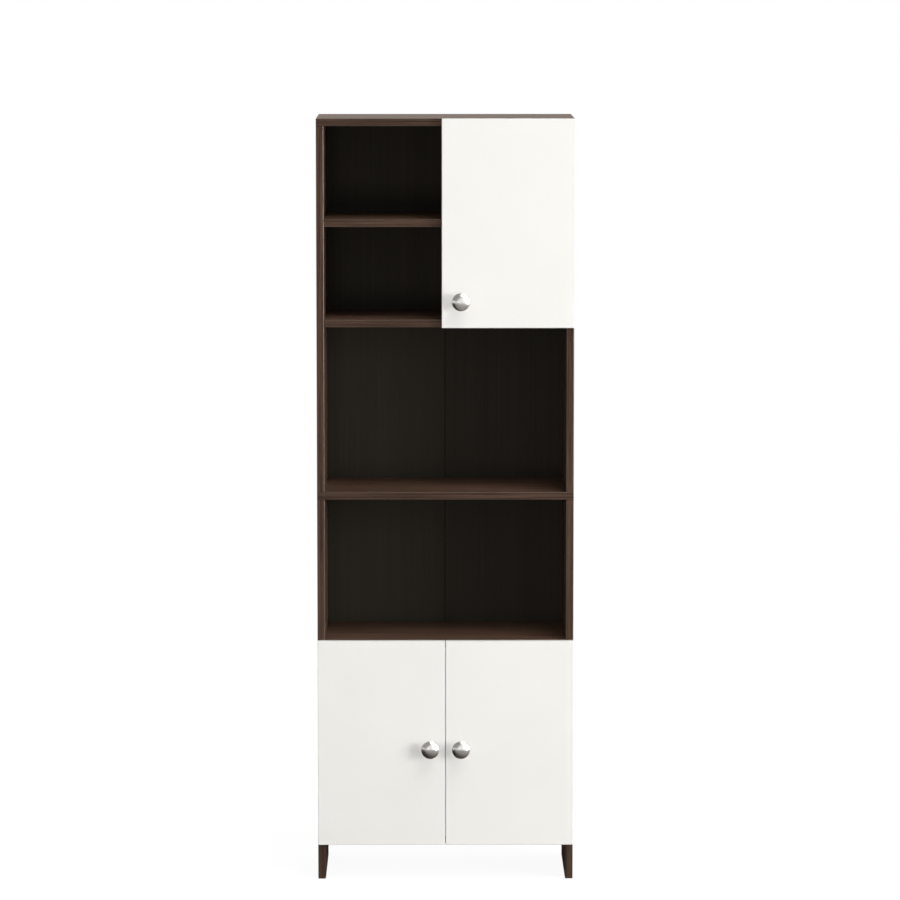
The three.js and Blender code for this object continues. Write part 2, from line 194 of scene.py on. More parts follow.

# How far a face looks forward where the painted shade in front starts and where it is full
FRONT_SHADE_STARTS = 0.6
FRONT_SHADE_FULL = 0.8

# Walnut's pores and gloss
PORE_STRENGTH = 0.8
WALNUT_GLOSS_SWING = 0.05
WALNUT_SHEEN = (1.0, 0.92, 0.84, 1.0)

# Lightness of the doors' edge band, as a share of their faces': partly the band's own tone, partly
# painted shade along the doors' outline
DOOR_BAND_AND_SHADE_SHARE = 0.95

# Floor and world
FLOOR_HALF = 30.0
FLOOR_DROP = 0.2 * MM
FLOOR_TINT = 0.12
FLOOR_BOUNCE = 0.33
AMBIENT = 0.505
SQUARE_CORNERS = ((-1, -1), (1, -1), (1, 1), (-1, 1))

# Lamps
LAMPS = (
    {
        "name": "side_key",
        "place": (5.5, -3.6, 1.5),
        "aim": (0, 0, 0.8),
        "size": (2.56, 2.56),
        "power": 260,
    },
    {
        "name": "front_fill",
        "place": (-0.6, -6.0, 0.6),
        "aim": (0, 0, 0.7),
        "size": (1.1, 1.1),
        "power": 53,
        "reflected": False,
    },
    {
        "name": "overhead",
        "place": (2.6, -3.0, 8.0),
        "aim": (0, -0.2, 0),
        "size": (5.0, 2.2),
        "power": 292,
    },
)

# Cards that only reflections see, each with its shades along a vector
CARD_GLOW = 2.0
WHITE_WALL = (0.65, 0.65, 0.64)
LOW_REAR_WALL = (0.26, 0.247, 0.206)
FRONT_GLOW = (0.95, 0.95, 0.93)
CARDS = (
    {
        "name": "dark_card",
        "corners": ((-8, -8, 0.004), (8, -8, 0.004), (8, 0.8, 0.004), (-8, 0.8, 0.004)),
        "shades": (
            (0.02, (0.008, 0.006, 0.005)),
            (0.04, (0.048, 0.043, 0.038)),
            (0.08, (0.155, 0.145, 0.135)),
            (0.20, (0.16, 0.152, 0.142)),
            (0.9, (0.38, 0.37, 0.35)),
        ),
        "along": (0.08, -0.12, 0.0),
    },
    {
        "name": "grey_card",
        "corners": ((-20, -28, 4.0), (-20, 6, 4.0), (13, 6, 34.6), (13, -28, 34.6)),
        "shades": (
            (0.0, (0.15, 0.145, 0.134)),
            (0.3, (0.20, 0.194, 0.181)),
            (0.65, (0.5, 0.5, 0.5)),
        ),
        "along": (0.05, 0.0, 0.0),
    },
    {
        "name": "white_card",
        "corners": ((12, -40, 0.0), (12, 3, 0.0), (12, 3, 40), (12, -40, 40)),
        "shades": ((0.0, WHITE_WALL), (1.0, WHITE_WALL)),
        "along": (0.0, -0.04, 0.0),
    },
    {
        "name": "rear_card",
        "corners": ((-16, 12, 0.0), (16, 12, 0.0), (16, 12, 4), (-16, 12, 4)),
        "shades": ((0.0, LOW_REAR_WALL), (1.0, LOW_REAR_WALL)),
        "along": (0.0, 0.04, 0.0),
    },
    {
        "name": "front_card",
        "corners": ((-2.3, -6.4, 0.9), (-1.4, -6.6, 0.9), (-1.4, -6.6, 1.8), (-2.3, -6.4, 1.8)),
        "shades": ((0.0, FRONT_GLOW), (1.0, FRONT_GLOW)),
        "along": (0.0, -0.04, 0.0),
    },
)

# Sockets of the colour mix node, which go by number: factor and two colours, then the result
MIX_SOCKETS = (0, 6, 7)
MIX_RESULT = 2

# Pieces of the frame
DOORS = ("upper_door", "lower_left_door", "lower_right_door")
HINGE_ENDS = ("bottom", "top")

# The side of each door's hinges, 1 for the right and -1 for the left
HAND = {"upper_door": 1, "lower_left_door": -1, "lower_right_door": 1}

# Boards by the way that their edges are rounded
OUTER_BOARDS = ("top_panel", "middle_board")
LEVEL_BOARDS = (
    "upper_cupboard_floor",
    "upper_left_shelf",
    "upper_right_shelf",
    "lower_cupboard_top",
    "lower_cupboard_floor",
    "lower_left_shelf",
    "lower_right_shelf",
)
UPRIGHT_BOARDS = (
    "upper_left_side",
    "upper_right_side",
    "lower_left_side",
    "lower_right_side",
    "upper_partition",
)

# Boards with covered fittings, the sides with the way that their inner face looks
COVERED_BOARDS = (
    "upper_cupboard_floor",
    "upper_left_shelf",
    "lower_cupboard_top",
    "lower_cupboard_floor",
)
COVERED_SIDES = {
    "upper_left_side": RIGHT,
    "upper_right_side": LEFT,
    "lower_left_side": RIGHT,
    "lower_right_side": LEFT,
}

# The back sheets, each with the board that crosses its middle
CROSSING_BOARDS = {"lower_back": "lower_cupboard_top", "upper_back": "upper_cupboard_floor"}


# Shader building


def add(tree, kind, inputs=None, **settings):
    """A new shader or geometry node, with values or other nodes' outputs for its inputs."""
    node = tree.nodes.new(kind if kind.startswith("Geometry") else "ShaderNode" + kind)
    for name, value in settings.items():
        setattr(node, name, value)
    for socket, value in (inputs or {}).items():
        feed(tree, node.inputs[socket], value)
    return node


def feed(tree, socket, value):
    """Links another node's output to a socket, or sets the socket to a plain value."""
    if isinstance(value, bpy.types.NodeSocket):
        tree.links.new(value, socket)
    else:
        socket.default_value = value


def mix_colours(tree, factor, first, second, blend="MIX"):
    """The output of a colour mix."""
    node = add(tree, "Mix", data_type="RGBA", blend_type=blend)
    for place, value in zip(MIX_SOCKETS, (factor, first, second)):
        feed(tree, node.inputs[place], value)
    return node.outputs[MIX_RESULT]


def maths(tree, operation, first, second=0.0):
    """The output of one operation on numbers."""
    return add(tree, "Math", {0: first, 1: second}, operation=operation).outputs[0]


def blended(tree, first, second, share):
    """Two values mixed, the second by its share and the first by the rest."""
    part = maths(tree, "MULTIPLY", first, 1 - share)
    return maths(tree, "ADD", part, maths(tree, "MULTIPLY", second, share))


def ramp(tree, factor, stops):
    """The colour output of a ramp, from (place, colour) pairs."""
    node = add(tree, "ValToRGB", {"Fac": factor})
    elements = node.color_ramp.elements
    while len(elements) < len(stops):
        elements.new(1.0)
    for element, (place, colour) in zip(elements, stops):
        element.position = place
        element.color = (*colour, 1.0)
    return node.outputs["Color"]


def noise(tree, scale, detail=3.0, roughness=0.5, distortion=0.0):
    """A noise value over the object's coordinates, scaled by one number for each axis."""
    place = add(tree, "TexCoord").outputs["Object"]
    stretched = add(tree, "Mapping", {"Vector": place, "Scale": scale}).outputs["Vector"]
    inputs = {
        "Vector": stretched,
        "Scale": 1.0,
        "Detail": detail,
        "Roughness": roughness,
        "Distortion": distortion,
    }
    return add(tree, "TexNoise", inputs).outputs["Fac"]


def material(name):
    """A new material with its node tree and its main shader."""
    made = bpy.data.materials.new(name)
    made.use_nodes = True
    return made, made.node_tree, made.node_tree.nodes["Principled BSDF"]


def relief(tree, shader, height, strength, depth):
    """Gives a shader a bump from a height value."""
    bump = add(tree, "Bump", {"Height": height, "Strength": strength, "Distance": depth})
    tree.links.new(bump.outputs["Normal"], shader.inputs["Normal"])


def along_grain(grain, across, along):
    """Scales for the three axes, slow along the grain and fine across it."""
    return tuple(along if axis == grain else across for axis in "xyz")


def all_ways(scale):
    """One scale for the three axes."""
    return (scale, scale, scale)


def lightened(shades, lightness):
    """The shades of a ramp, all times one lightness."""
    return [(place, tuple(lightness * part for part in shade)) for place, shade in shades]


# Materials of the boards


def walnut(grain, name, lightness, roughness, specular, depth):
    """Walnut melamine: a slow drift of tone, streaks and fine dark pores, along the given axis.

    What faces forward, the boards' front edges, is painted darker: painted shade there, against
    painted light on the faces.
    """
    made, tree, shader = material(f"{name}_along_{grain}")
    drift = noise(tree, along_grain(grain, *WALNUT_DRIFT), detail=3, distortion=0.7)
    fine = {"detail": 4, "roughness": 0.6, "distortion": 0.2}
    streaks = noise(tree, along_grain(grain, *WALNUT_STREAKS), **fine)
    pores = noise(tree, along_grain(grain, *WALNUT_PORES), detail=3, roughness=0.6)
    tone = blended(tree, drift, streaks, share=0.75)
    grained = ramp(tree, tone, lightened(WALNUT_SHADES, lightness))
    dark_pores = ramp(tree, pores, PORE_SHADES)
    base = mix_colours(tree, PORE_STRENGTH, grained, dark_pores, "MULTIPLY")
    # Painted shade on what faces forward, and painted light on the faces
    base = mix_colours(tree, 1.0, base, front_painted_shade(tree, grain), "MULTIPLY")
    tree.links.new(base, shader.inputs["Base Color"])
    ends = {
        "Value": streaks,
        "To Min": roughness + WALNUT_GLOSS_SWING,
        "To Max": roughness - WALNUT_GLOSS_SWING,
    }
    tree.links.new(add(tree, "MapRange", ends).outputs["Result"], shader.inputs["Roughness"])
    relief(tree, shader, blended(tree, streaks, pores, share=0.7), strength=0.25, depth=depth)
    shader.inputs["Specular IOR Level"].default_value = specular
    shader.inputs["Specular Tint"].default_value = WALNUT_SHEEN
    return made


def front_painted_shade(tree, grain):
    """A colour to multiply by: white, but darker on what faces forward, as painted shade."""
    normal = add(tree, "NewGeometry").outputs["Normal"]
    turn = add(tree, "VectorMath", {0: normal, 1: FRONT}, operation="DOT_PRODUCT")
    darker = tuple(part / FACE_PAINTED_LIGHTNESS[grain] for part in FRONT_SHADE_TONE)
    return ramp(tree, turn.outputs["Value"], ((FRONT_SHADE_STARTS, WHITE), (FRONT_SHADE_FULL, darker)))


def pale_melamine():
    """Cream melamine with a faint upright grain."""
    made, tree, shader = material("pale_melamine")
    streaks = noise(tree, along_grain("z", *MELAMINE_STREAKS), detail=4, roughness=0.6)
    tree.links.new(ramp(tree, streaks, MELAMINE_SHADES), shader.inputs["Base Color"])
    relief(tree, shader, streaks, strength=0.15, depth=0.1 * MM)
    shader.inputs["Roughness"].default_value = 0.6
    return made


def printed_and_shaded_back():
    """The back sheets' front: a near-black wood print with fine upright lines, its darkness partly
    painted shade of the deep bays.
    """
    made, tree, shader = material("printed_and_shaded_back")
    lines = noise(tree, along_grain("z", *PRINT_LINES), detail=4, roughness=0.6)
    drift = noise(tree, along_grain("z", *PRINT_DRIFT), detail=3)
    tone = blended(tree, lines, drift, share=0.4)
    tree.links.new(ramp(tree, tone, PRINT_AND_SHADE_TONES), shader.inputs["Base Color"])
    relief(tree, shader, lines, strength=0.2, depth=0.1 * MM)
    shader.inputs["Roughness"].default_value = 0.6
    shader.inputs["Specular IOR Level"].default_value = 0.08
    return made


def raw_hardboard():
    """The back sheets' rear: brown pressed fibre."""
    made, tree, shader = material("raw_hardboard")
    fibres = noise(tree, all_ways(HARDBOARD_FIBRES), detail=6, roughness=0.75)
    blotches = noise(tree, all_ways(HARDBOARD_BLOTCHES), detail=3)
    tone = blended(tree, fibres, blotches, share=0.35)
    tree.links.new(ramp(tree, tone, HARDBOARD_SHADES), shader.inputs["Base Color"])
    relief(tree, shader, fibres, strength=0.35, depth=0.15 * MM)
    shader.inputs["Roughness"].default_value = 0.8
    return made


def off_white_foil(name, lightness):
    """The doors' matt off-white foil, with a very fine grain."""
    made, tree, shader = material(name)
    speckle = noise(tree, all_ways(FOIL_SPECKLE), detail=2)
    drift = noise(tree, all_ways(FOIL_DRIFT), detail=2)
    tone = blended(tree, drift, speckle, share=0.3)
    base = ramp(tree, tone, lightened(FOIL_SHADES, lightness))
    tree.links.new(base, shader.inputs["Base Color"])
    relief(tree, shader, speckle, strength=0.1, depth=0.1 * MM)
    shader.inputs["Roughness"].default_value = 0.5
    shader.inputs["Specular IOR Level"].default_value = 0.3
    return made


# Materials of the fittings


def metal(name, colour, roughness, wear):
    """A metal with faint cloudy wear in its gloss."""
    made, tree, shader = material(name)
    cloud = noise(tree, all_ways(METAL_CLOUDS), detail=4, roughness=0.65)
    ends = {"Value": cloud, "To Min": roughness - wear, "To Max": roughness + wear}
    tree.links.new(add(tree, "MapRange", ends).outputs["Result"], shader.inputs["Roughness"])
    darker = tuple(METAL_DARK_SHARE * part for part in colour)
    base = ramp(tree, cloud, ((METAL_DARK_AT, darker), (METAL_LIGHT_AT, colour)))
    tree.links.new(base, shader.inputs["Base Color"])
    shader.inputs["Metallic"].default_value = 1.0
    return made


def raw_beech():
    """Turned beech with short flecks."""
    made, tree, shader = material("raw_beech")
    flecks = noise(tree, along_grain("z", *BEECH_FLECKS), detail=3)
    tree.links.new(ramp(tree, flecks, BEECH_SHADES), shader.inputs["Base Color"])
    shader.inputs["Roughness"].default_value = 0.7
    return made


def plastic(name, shades, roughness):
    """A moulded plastic with a fine grain between near shades."""
    made, tree, shader = material(name)
    grain = noise(tree, all_ways(PLASTIC_GRAIN), detail=3)
    tree.links.new(ramp(tree, grain, shades), shader.inputs["Base Color"])
    relief(tree, shader, grain, strength=0.2, depth=0.05 * MM)
    shader.inputs["Roughness"].default_value = roughness
    return made


# Mesh building


def new_object(name, form):
    """An object made from a bmesh, which is used up."""
    mesh = bpy.data.meshes.new(name)
    form.to_mesh(mesh)
    form.free()
    made = bpy.data.objects.new(name, mesh)
    bpy.context.scene.collection.objects.link(made)
    return made


def dress(piece, body, slot, *finishes):
    """Gives a piece its finishes and its body. The slot is not used."""
    for finish in finishes:
        piece.data.materials.append(finish)
    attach(piece, body)


def lathe(outline, sides):
    """A bmesh of (radius, out) points turned about the line from the origin along -Y."""
    form = bmesh.new()
    turns = [2 * math.pi * i / sides for i in range(sides)]
    rings = []
    for radius, out in outline:
        around = turns if radius else turns[:1]
        places = [(radius * math.cos(turn), -out, radius * math.sin(turn)) for turn in around]
        rings.append([form.verts.new(place) for place in places])
    for first, second in zip(rings, rings[1:]):
        for i in range(sides):
            corners = [first[i % len(first)], first[(i + 1) % len(first)]]
            corners += [second[(i + 1) % len(second)], second[i % len(second)]]
            face = list(dict.fromkeys(corners))
            if len(face) > 2:
                form.faces.new(face)
    bmesh.ops.recalc_face_normals(form, faces=form.faces)
    return form


def rod(radius, start, stop, sides):
    """A bmesh of a round rod along -Y, from one distance out to another."""
    return lathe([(0, start), (radius, start), (radius, stop), (0, stop)], sides)


def prism(corners, low, high):
    """A bmesh of (x, z) corners carried from one y to another."""
    form = bmesh.new()
    ends = [[form.verts.new((x, y, z)) for x, z in corners] for y in (low, high)]
    for end in ends:
        form.faces.new(end)
    for i in range(len(corners)):
        j = (i + 1) % len(corners)
        form.faces.new([ends[0][i], ends[0][j], ends[1][j], ends[1][i]])
    bmesh.ops.recalc_face_normals(form, faces=form.faces)
    return form


def rounded_box(low, high, radius):
    """A bmesh of a box with all of its edges rounded."""
    form = bmesh.new()
    size = high - low
    place = Matrix.Translation((low + high) / 2) @ Matrix.Diagonal((*size, 1))
    bmesh.ops.create_cube(form, size=1, matrix=place)
    bmesh.ops.bevel(
        form,
        geom=form.edges[:],
        offset=radius,
        segments=EDGE_SEGMENTS,
        profile=0.5,
        affect="EDGES",
    )
    return form


def gather(forms):
    """One bmesh from several, which are used up."""
    whole = bmesh.new()
    for form in forms:
        part = bpy.data.meshes.new("part")
        form.to_mesh(part)
        form.free()
        whole.from_mesh(part)
        bpy.data.meshes.remove(part)
    return whole


def facing(form, place, direction):
    """Turns a bmesh that looks along -Y to look along a direction, and moves it to a place."""
    turn = FRONT.rotation_difference(direction).to_matrix().to_4x4()
    form.transform(Matrix.Translation(place) @ turn)
    return form


def bake(piece):
    """Fixes a piece's modifiers into its mesh."""
    graph = bpy.context.evaluated_depsgraph_get()
    baked = bpy.data.meshes.new_from_object(piece.evaluated_get(graph))
    rough = piece.data
    piece.modifiers.clear()
    piece.data = baked
    bpy.data.meshes.remove(rough)


def cut(piece, form):
    """Cuts the form of a bmesh out of a piece."""
    cutter = new_object("cutter", form)
    hole = piece.modifiers.new("cut", "BOOLEAN")
    hole.operation = "DIFFERENCE"
    hole.solver = "EXACT"
    hole.object = cutter
    bake(piece)
    bpy.data.objects.remove(cutter)


def smooth(piece):
    """Smooth shading across edges flatter than the smooth angle, with flat faces kept flat."""
    piece.data.shade_smooth()
    piece.data.set_sharp_from_angle(angle=SMOOTH_ANGLE)
    even = piece.modifiers.new("even_shading", "WEIGHTED_NORMAL")
    even.keep_sharp = True


def dome(size):
    """The outline of a low rounded head, from its top to just under the face that it sits on."""
    radius, height = size
    angles = [math.pi / 2 * i / DOME_STEPS for i in range(DOME_STEPS + 1)]
    curve = [(radius * math.sin(angle), height * math.cos(angle)) for angle in angles]
    return [*curve, (radius, -DOME_SEAT), (0, -DOME_SEAT)]


def domes(size, spots):
    """A bmesh of low rounded heads, from (place, direction) spots."""
    heads = []
    for place, direction in spots:
        heads.append(facing(lathe(dome(size), SMALL_SIDES), Vector(place), direction))
    return gather(heads)


# Doors and knobs


def arc(centre, size, start, stop):
    """Points of an arc about a (radius, out) centre, with its angles taken from the knob's axis."""
    radius, out = centre
    wide, deep = size
    angles = [start + (stop - start) * i / ARC_STEPS for i in range(ARC_STEPS + 1)]
    return [(radius + wide * math.sin(angle), out + deep * math.cos(angle)) for angle in angles]


def knob_outline():
    """The knob's round face, rounded rim, flare, neck and base, and the hole for its screw."""
    rim_ring = KNOB_RADIUS - KNOB_RIM_RADIUS
    face_radius = rim_ring / math.sin(KNOB_FACE_SLOPE) + KNOB_RIM_RADIUS
    face_centre = KNOB_REACH - face_radius
    rim_out = face_centre + (face_radius - KNOB_RIM_RADIUS) * math.cos(KNOB_FACE_SLOPE)
    face = arc((0, face_centre), (face_radius, face_radius), 0, KNOB_FACE_SLOPE)
    rim_size = (KNOB_RIM_RADIUS, KNOB_RIM_RADIUS)
    rim = arc((rim_ring, rim_out), rim_size, KNOB_FACE_SLOPE, KNOB_RIM_TURN)[1:]
    flare_ring, flare_out = rim[-1]
    flare_size = (KNOB_NECK_RADIUS - flare_ring, flare_out - KNOB_NECK_LENGTH)
    flare = arc((flare_ring, KNOB_NECK_LENGTH), flare_size, 0, math.pi / 2)[1:]
    return [
        (0, KNOB_REACH),
        *face[1:],
        *rim,
        *flare,
        (KNOB_NECK_RADIUS, KNOB_BASE_THICKNESS),
        (KNOB_BASE_RADIUS - KNOB_BASE_LIP, KNOB_BASE_THICKNESS),
        (KNOB_BASE_RADIUS, KNOB_BASE_THICKNESS - KNOB_BASE_LIP),
        (KNOB_BASE_RADIUS, KNOB_GAP),
        (KNOB_HOLE_RADIUS, KNOB_GAP),
        (KNOB_HOLE_RADIUS, KNOB_HOLE_DEPTH),
        (0, KNOB_HOLE_DEPTH),
    ]


def knob_place(door):
    """The middle of a door's knob, on the door's front face."""
    low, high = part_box(door + "_knob")
    return Vector(((low.x + high.x) / 2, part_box(door)[0].y, (low.z + high.z) / 2))


def knob(door, finish):
    """A door's round knob."""
    form = facing(lathe(knob_outline(), ROUND_SIDES), knob_place(door), FRONT)
    made = new_object(door + "_round_knob", form)
    dress(made, door, "polished_knob", finish)
    smooth(made)
    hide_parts(door + "_knob")


def cup_middle(door, end):
    """The middle of a hinge cup, on the cup's deepest face."""
    low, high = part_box(f"{door}_{end}_hinge_cup")
    return Vector(((low.x + high.x) / 2, low.y, (low.z + high.z) / 2))


def door_holes(door):
    """The bores for the hinge cups and the hole for the knob's screw."""
    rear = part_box(door)[1].y + CUT_OVERRUN
    holes = []
    for end in HINGE_ENDS:
        middle = cup_middle(door, end)
        middle.y -= BORE_FLOOR_GAP
        bore = rod(BORE_RADIUS, 0, middle.y - rear, ROUND_SIDES)
        holes.append(facing(bore, middle, FRONT))
    place = knob_place(door)
    screw_hole = rod(SCREW_HOLE_RADIUS, CUT_OVERRUN, place.y - rear, SMALL_SIDES)
    holes.append(facing(screw_hole, place, FRONT))
    return gather(holes)


def door_slab(door, finish, band_and_shade):
    """A door with rounded edges in their own greyer band, partly its own tone and partly painted
    shade along the outline, and its bores.
    """
    low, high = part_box(door)
    made = new_object(door + "_slab", rounded_box(low, high, DOOR_EDGE))
    cut(made, door_holes(door))
    for face in made.data.polygons:
        x, _, z = face.center
        inset = min(x - low.x, high.x - x, z - low.z, high.z - z)
        face.material_index = 1 if inset < DOOR_EDGE else 0
    dress(made, door, "white_door", finish, band_and_shade)
    smooth(made)
    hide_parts(door)


def bumpers(door, finish):
    """Two soft dots behind the door's free edge, over the partition that it shuts against."""
    low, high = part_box(door)
    partition = "upper_partition" if door.startswith("upper") else "lower_partition"
    edge_low, edge_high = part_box(partition)
    free_edge = low.x if HAND[door] > 0 else high.x
    inner = edge_high.x if HAND[door] > 0 else edge_low.x
    x = (free_edge + inner) / 2
    heights = (low.z + BUMPER_INSET, high.z - BUMPER_INSET)
    made = new_object(door + "_bumpers", domes(BUMPER, [((x, high.y, z), REAR) for z in heights]))
    dress(made, door, "white_door", finish)
    smooth(made)


# Screws


def screw_head(size):
    """A bmesh of a domed screw head with a cross recess, looking along -Y."""
    radius, height = size
    head = new_object("head", lathe(dome(size), SMALL_SIDES))
    arm = radius * RECESS_ARM_SHARE
    half = radius * RECESS_WIDTH_SHARE
    quarter = [(arm, -half), (arm, half), (half, half)]
    corners = []
    for turn in range(4):
        corners += [turned(corner, turn) for corner in quarter]
    cut(head, prism(corners, -height - CUT_OVERRUN, -height * (1 - RECESS_DEPTH_SHARE)))
    form = bmesh.new()
    form.from_mesh(head.data)
    bpy.data.objects.remove(head)
    return form


def turned(corner, quarters):
    """A point (x, z) turned about the origin by quarter turns."""
    x, z = corner
    for _ in range(quarters):
        x, z = -z, x
    return x, z


def screws(name, body, finish, spots):
    """One piece of screw heads, from (head, place, direction) spots."""
    heads = [facing(head.copy(), place, direction) for head, place, direction in spots]
    made = new_object(name, gather(heads))
    dress(made, body, "nickel_hardware", finish)
    smooth(made)


def hinge_screws(door, end, heads, finish):
    """The screws of one hinge: two in the cup's wings, two in the plate and two on the arm."""
    cup_head, plate_head, arm_head = heads
    hand = HAND[door]
    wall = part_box("lower_right_side")[0].x * hand
    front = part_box("lower_right_side")[0].y
    name = f"{door}_{end}_hinge"
    middle = cup_middle(door, end)
    middle.x -= hand * CUP_SCREW_INSET
    middle.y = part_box(name + "_cup")[1].y
    spreads = (-CUP_SCREW_SPREAD, CUP_SCREW_SPREAD)
    spots = [(cup_head, middle + UP * spread, REAR) for spread in spreads]
    screws(name + "_cup_screws", door, finish, spots)
    inward = LEFT if hand > 0 else RIGHT
    plate = Vector((wall - hand * PLATE_TOP, front + PLATE_SETBACK, middle.z))
    spreads = (-PLATE_SCREW_SPREAD, PLATE_SCREW_SPREAD)
    spots = [(plate_head, plate + UP * spread, inward) for spread in spreads]
    for setback in ARM_SCREW_SETBACKS:
        place = Vector((wall - hand * ARM_TOP, front + setback, middle.z))
        spots.append((arm_head, place, inward))
    screws(name + "_arm_screws", "carcass", finish, spots)


# Backs and board fittings


def sheet_outline(low, high):
    """A sheet seen from above, as (x, y) points, with the fold's groove in its front."""
    fold = (low.x + high.x) / 2
    rear = high.y - SHEET_REAR_GAP
    return [
        (low.x, low.y),
        (fold - FOLD_WIDTH / 2, low.y),
        (fold, low.y + FOLD_DEPTH),
        (fold + FOLD_WIDTH / 2, low.y),
        (high.x, low.y),
        (high.x, rear),
        (low.x, rear),
    ]


def back_sheet(name, front, rear):
    """A thin sheet, printed in front, near-black partly as painted shade, and raw behind, built
    lying down and then stood up.
    """
    low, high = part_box(name)
    form = prism(sheet_outline(low, high), -high.z, -low.z)
    form.transform(STAND_UP)
    bmesh.ops.recalc_face_normals(form, faces=form.faces)
    for face in form.faces:
        face.material_index = 0 if face.normal.y < 0 else 1
    made = new_object(name + "_sheet", form)
    dress(made, "carcass", "back_sheet", front, rear)
    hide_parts(name)


def spaced(start, stop, pitch):
    """Even places from start to stop, about a pitch apart."""
    count = max(1, round((stop - start) / pitch))
    return [start + (stop - start) * i / count for i in range(count + 1)]


def nails(name, crossing, finish):
    """Nail heads round a back sheet's edge and along the board that crosses its middle."""
    low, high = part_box(name)
    left, right = low.x + NAIL_FROM_EDGE, high.x - NAIL_FROM_EDGE
    bottom, top = low.z + NAIL_FROM_EDGE, high.z - NAIL_FROM_EDGE
    board_low, board_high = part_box(crossing)
    middle = (board_low.z + board_high.z) / 2
    spots = [(x, z) for x in (left, right) for z in spaced(bottom, top, NAIL_PITCH)]
    spots += [(x, z) for z in (bottom, middle, top) for x in spaced(left, right, NAIL_PITCH)[1:-1]]
    rear = high.y - SHEET_REAR_GAP
    made = new_object(name + "_nails", domes(NAIL, [((x, rear, z), REAR) for x, z in spots]))
    dress(made, "carcass", "nickel_hardware", finish)
    smooth(made)


def covers(name, spots, finish):
    """The round covers over one board's fittings, from (place, direction) spots."""
    made = new_object(name + "_covers", domes(COVER, spots))
    dress(made, "carcass", "walnut_board", finish)
    smooth(made)


def fitting_rows(board):
    """The two places from front to rear at which a board's fittings sit."""
    low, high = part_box(board)
    return low.y + COVER_SETBACK, high.y - COVER_SETBACK


def fitting_covers(finish):
    """Covers under the fixed boards near their ends, and on the sides just under their tops."""
    for board in COVERED_BOARDS:
        low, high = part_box(board)
        ends = (low.x + COVER_FROM_JOINT, high.x - COVER_FROM_JOINT)
        spots = [((x, y, low.z), DOWN) for x in ends for y in fitting_rows(board)]
        covers(board, spots, finish)
    for side, inward in COVERED_SIDES.items():
        low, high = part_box(side)
        x = high.x if inward.x > 0 else low.x
        spots = [((x, y, high.z - COVER_FROM_JOINT), inward) for y in fitting_rows(side)]
        covers(side, spots, finish)


# Dressing


def long_edges(axis):
    """A node group that marks a board's long square edges along an axis, for rounding."""
    tree = bpy.data.node_groups.new("long_edges_along_" + axis, "GeometryNodeTree")
    for side in ("INPUT", "OUTPUT"):
        tree.interface.new_socket("Board", in_out=side, socket_type="NodeSocketGeometry")
    ends = add(tree, "GeometryNodeInputMeshEdgeVertices").outputs
    places = {0: ends["Position 1"], 1: ends["Position 2"]}
    run = add(tree, "VectorMath", places, operation="SUBTRACT").outputs["Vector"]
    length = add(tree, "VectorMath", {0: run}, operation="LENGTH").outputs["Value"]
    aligned = add(tree, "VectorMath", {0: run, 1: AXES[axis]}, operation="DOT_PRODUCT")
    reach = maths(tree, "ABSOLUTE", aligned.outputs["Value"])
    angle = add(tree, "GeometryNodeInputMeshEdgeAngle").outputs["Unsigned Angle"]
    long = maths(tree, "GREATER_THAN", length, LONG_ENOUGH)
    along = maths(tree, "GREATER_THAN", reach, maths(tree, "MULTIPLY", length, ALONG_ENOUGH))
    square = maths(tree, "GREATER_THAN", angle, SQUARE_ENOUGH)
    marked = maths(tree, "MULTIPLY", square, maths(tree, "MULTIPLY", long, along))
    start = tree.nodes.new("NodeGroupInput").outputs[0]
    inputs = {"Geometry": start, "Name": "bevel_weight_edge", "Value": marked}
    store = add(tree, "GeometryNodeStoreNamedAttribute", inputs, data_type="FLOAT", domain="EDGE")
    tree.links.new(store.outputs[0], tree.nodes.new("NodeGroupOutput").inputs[0])
    return tree


def ease_edges(piece, width, marker=None):
    """Joins a piece's split corners and rounds its square edges, or only the marked ones.

    The rounded faces take the piece's second finish.
    """
    weld = piece.modifiers.new("weld", "WELD")
    weld.merge_threshold = WELD
    flat = piece.modifiers.new("flat", "DECIMATE")
    flat.decimate_type = "DISSOLVE"
    flat.angle_limit = FLAT_ENOUGH
    if marker:
        piece.modifiers.new("long_edges", "NODES").node_group = marker
    bevel = piece.modifiers.new("edges", "BEVEL")
    bevel.width = width
    bevel.segments = EDGE_SEGMENTS
    bevel.limit_method = "WEIGHT" if marker else "ANGLE"
    bevel.angle_limit = SQUARE_ENOUGH
    bevel.use_clamp_overlap = False
    bevel.material = 1


def paint(node, *finishes):
    """Gives a CAD node its finishes."""
    frame["nodes"][node].data.materials.clear()
    for finish in finishes:
        frame["nodes"][node].data.materials.append(finish)


def walnut_pair(grain):
    """The walnut of the faces, painted lighter by grain as painted light, and the glossier one of
    the rounded edges.
    """
    face = {"lightness": FACE_PAINTED_LIGHTNESS[grain], "roughness": 0.45, "specular": 0.14}
    edge = {"lightness": EDGE_LIGHTNESS, "roughness": 0.28, "specular": 1.0}
    return (
        walnut(grain, "walnut", depth=0.15 * MM, **face),
        walnut(grain, "walnut_edge", depth=0.01 * MM, **edge),
    )


def dress_boards():
    """Finishes and rounds the carcass boards and covers their fittings."""
    pale = pale_melamine()
    level = long_edges("x")
    upright = long_edges("z")
    finishes = {grain: walnut_pair(grain) for grain in AXES}
    for boards, pair, width, marker in (
        (OUTER_BOARDS, finishes["x"], LEVEL_EDGE, None),
        (LEVEL_BOARDS, finishes["x"], LEVEL_EDGE, level),
        (UPRIGHT_BOARDS, finishes["z"], UPRIGHT_EDGE, upright),
        (("lower_partition",), (pale, pale), UPRIGHT_EDGE, upright),
    ):
        for name in boards:
            paint(name, *pair)
            ease_edges(frame["nodes"][name], width, marker)
    fitting_covers(plastic("brown_plastic", COVER_SHADES, roughness=0.5))


